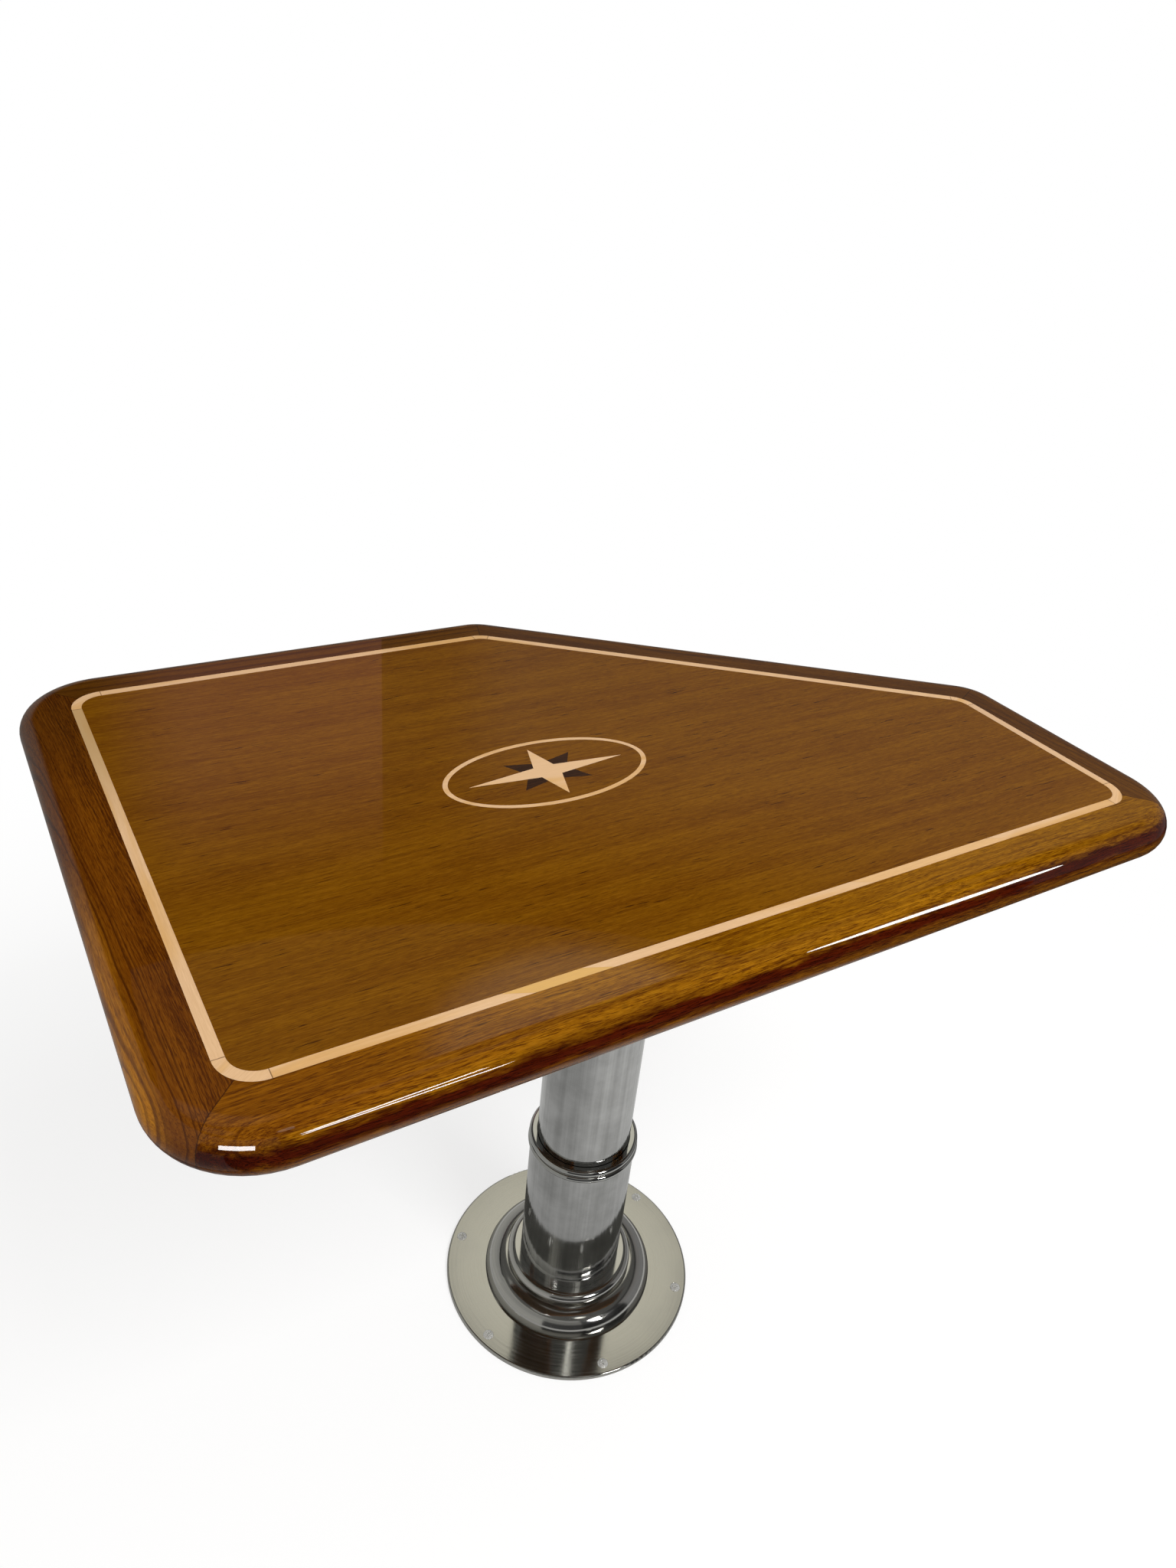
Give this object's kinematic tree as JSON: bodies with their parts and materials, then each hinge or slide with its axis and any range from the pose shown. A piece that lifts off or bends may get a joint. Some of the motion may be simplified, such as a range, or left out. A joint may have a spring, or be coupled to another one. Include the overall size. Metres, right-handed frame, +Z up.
{
  "type": "boat table",
  "caption": "Varnished teak boat table with one cut corner and a pale inlaid band, on a polished three-stage telescopic column with a round deck flange.",
  "frame": {"origin": "column axis at the underside of the deck flange", "axes": "+X along the front edge of the top, +Y to its back edge, +Z up along the column"},
  "size_m": [0.9189, 0.6149, 0.746],
  "materials": {
    "flange_steel": "mirror polished stainless",
    "moulding_steel": "mirror polished stainless",
    "tube_steel": "mirror polished stainless",
    "collar_steel": "mirror polished stainless",
    "head_steel": "satin stainless",
    "screw_steel": "polished stainless",
    "seal_rubber": "matt black",
    "bush_acetal": "natural white",
    "ram_steel": "ground and plated",
    "inner_steel": "turned steel",
    "core_plywood": "plain plywood",
    "under_teak": "satin varnish",
    "panel_teak": "high gloss varnish",
    "rim_front_teak": "high gloss varnish",
    "rim_right_teak": "high gloss varnish",
    "rim_slanted_teak": "high gloss varnish",
    "rim_back_teak": "high gloss varnish",
    "rim_left_teak": "high gloss varnish",
    "band_front_pale": "high gloss varnish",
    "band_right_pale": "high gloss varnish",
    "band_slanted_pale": "high gloss varnish",
    "band_back_pale": "high gloss varnish",
    "band_left_pale": "high gloss varnish",
    "band_corner_pale": "high gloss varnish",
    "oval_pale": "high gloss varnish",
    "star_pale": "high gloss varnish",
    "star_dark": "high gloss varnish"
  },
  "bodies": {
    "base": {"base_flange": "flange_steel", "base_screws": "screw_steel", "foot_moulding": "moulding_steel", "lower_tube": "tube_steel", "lower_collar": "collar_steel", "lower_wiper": "seal_rubber", "lower_guide_bush": "bush_acetal", "lower_key_rail": "inner_steel", "ram_rod": "ram_steel", "ram_rod_foot": "inner_steel"},
    "middle": {"middle_tube": "tube_steel", "middle_collar": "collar_steel", "middle_wiper": "seal_rubber", "middle_guide_bush": "bush_acetal", "middle_foot_bush": "bush_acetal", "middle_key_rail": "inner_steel", "carrier_plate": "inner_steel", "ram_middle_tube": "ram_steel"},
    "top": {"upper_tube": "tube_steel", "upper_foot_bush": "bush_acetal", "ram_barrel": "inner_steel", "ram_nut": "screw_steel", "head_hub": "collar_steel", "head_plate": "head_steel", "head_screws": "screw_steel", "top_core": "core_plywood", "under_veneer": "under_teak", "teak_panel": "panel_teak", "rim_front": "rim_front_teak", "rim_right": "rim_right_teak", "rim_slanted": "rim_slanted_teak", "rim_back": "rim_back_teak", "rim_left": "rim_left_teak", "band_front": "band_front_pale", "band_right": "band_right_pale", "band_slanted": "band_slanted_pale", "band_back": "band_back_pale", "band_left": "band_left_pale", "band_corner_front_left": "band_corner_pale", "band_corner_front_right": "band_corner_pale", "band_corner_right_slanted": "band_corner_pale", "band_corner_back_slanted": "band_corner_pale", "band_corner_back_left": "band_corner_pale", "oval_ring": "oval_pale", "star_light": "star_pale", "star_dark": "star_dark"}
  },
  "joints": [
    {"name": "lower_slide", "type": "slide", "parent": "base", "child": "middle", "axis": [0, 0, 1], "range_m": [-0.15, 0]},
    {"name": "upper_slide", "type": "slide", "parent": "middle", "child": "top", "axis": [0, 0, 1], "range_m": [-0.15, 0]}
  ],
  "couplings": [
    {"joint": "upper_slide", "follows": "lower_slide", "ratio": 1}
  ]
}
